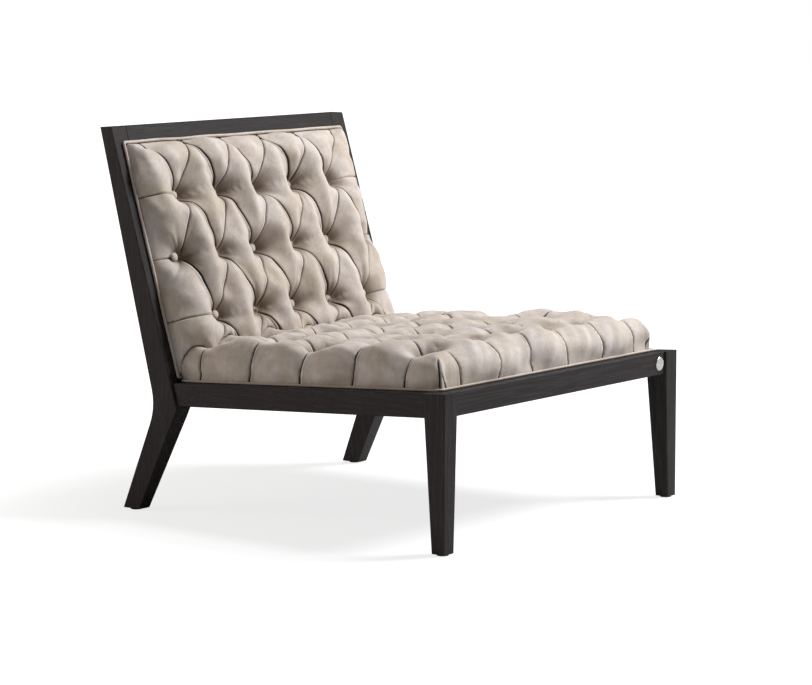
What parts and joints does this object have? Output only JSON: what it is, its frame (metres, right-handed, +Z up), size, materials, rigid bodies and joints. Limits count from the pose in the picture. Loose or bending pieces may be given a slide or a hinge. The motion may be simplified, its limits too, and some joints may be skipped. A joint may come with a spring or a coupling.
{
  "type": "slipper chair",
  "caption": "Low armless slipper chair: dark timber frame with raked back posts that splay at the knee, deep-buttoned leather seat and back cushions edged with welts.",
  "frame": {"origin": "on the floor, under the middle of the chair's overall box", "axes": "+Z up; the sitter faces -Y, so +Y is to the rear; +X is to the sitter's left"},
  "size_m": [0.8, 0.853, 0.752],
  "materials": {
    "timber": "open-pore dark brown-black stain, satin",
    "plywood": "plain, sanded",
    "leather": "matt greige nubuck-like leather",
    "cambric": "matt non-woven cloth",
    "steel": "zinc plated",
    "disc": "satin",
    "nylon": "matt"
  },
  "bodies": {
    "root": {"front_leg_right": "timber", "front_leg_left": "timber", "rear_post_right": "timber", "rear_post_left": "timber", "side_rail_right": "timber", "side_rail_left": "timber", "front_rail": "timber", "rear_rail": "timber", "back_top_rail": "timber", "front_corner_block_right": "plywood", "front_corner_block_left": "plywood", "rear_corner_block_right": "plywood", "rear_corner_block_left": "plywood", "seat_board": "plywood", "back_board": "plywood", "seat_cushion": "leather", "back_cushion": "leather", "seat_welt": "leather", "back_welt": "leather", "outside_back": "leather", "dust_cover": "cambric", "front_seat_screw_right": "steel", "front_seat_screw_left": "steel", "rear_seat_screw_right": "steel", "rear_seat_screw_left": "steel", "top_back_screw_right": "steel", "top_back_screw_left": "steel", "low_back_screw_right": "steel", "low_back_screw_left": "steel", "rail_disc": "disc", "front_glide_right": "nylon", "front_glide_left": "nylon", "rear_glide_right": "nylon", "rear_glide_left": "nylon"}
  },
  "joints": []
}
